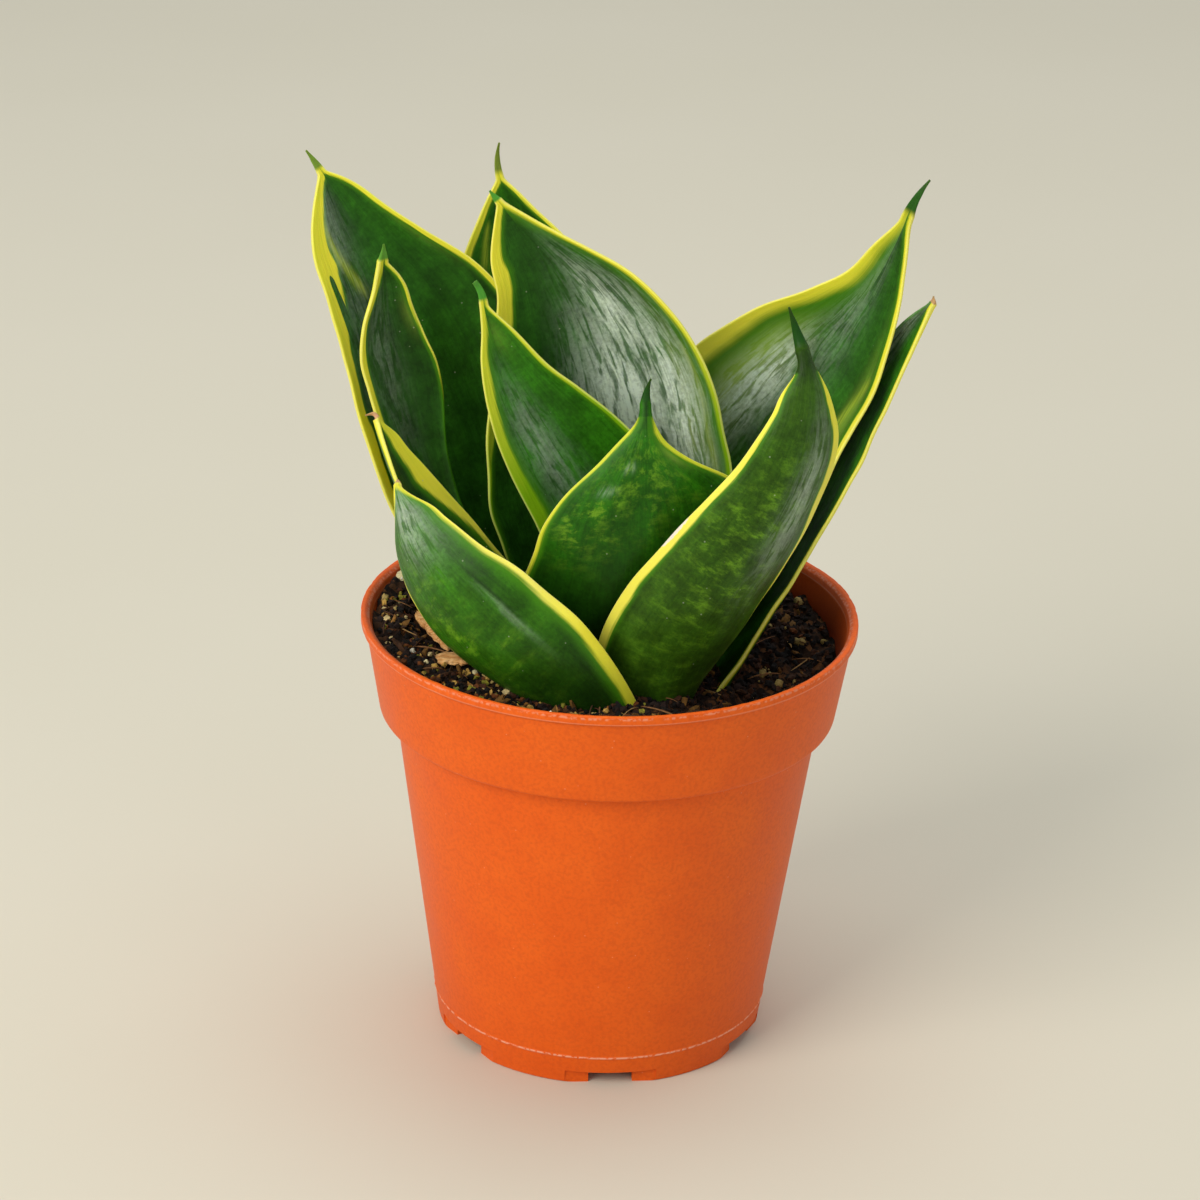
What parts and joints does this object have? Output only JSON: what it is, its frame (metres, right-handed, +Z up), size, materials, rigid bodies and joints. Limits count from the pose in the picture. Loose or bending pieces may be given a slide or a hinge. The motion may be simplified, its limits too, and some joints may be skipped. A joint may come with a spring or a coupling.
{
  "type": "potted snake plant",
  "caption": "Dwarf yellow-edged snake plant: a rosette of broad channelled leaves with tip spikes, rooted in potting mix in a round tapered plastic growers' pot with a collar.",
  "frame": {"origin": "centre of the pot's foot, on the ground plane, below the middle of the whole plant's bounding box", "axes": "+Z up out of the pot, -Y towards the viewer of the picture, +X to that viewer's right"},
  "size_m": [0.1365, 0.108, 0.1922],
  "materials": {
    "pot_plastic": "satin terracotta-orange moulded polypropylene",
    "potting_mix": "rough, lumpy and matt: peat with bark fines and white perlite",
    "rhizome_skin": "matt, smooth plant tissue",
    "bark": "rough, dry",
    "leaf_skin": "waxy gloss, deep green with mottled bands and broad yellow margins"
  },
  "bodies": {
    "root": {"pot": "pot_plastic", "soil": "potting_mix", "rhizome": "rhizome_skin", "bark_splinter": "bark", "bark_chip": "bark", "leaf_back": "leaf_skin", "leaf_back_left": "leaf_skin", "leaf_back_right": "leaf_skin", "leaf_inner_back": "leaf_skin", "leaf_right": "leaf_skin", "leaf_left": "leaf_skin", "leaf_inner_left": "leaf_skin", "leaf_left_low": "leaf_skin", "leaf_front": "leaf_skin", "leaf_front_right": "leaf_skin", "leaf_front_left": "leaf_skin"}
  },
  "joints": []
}
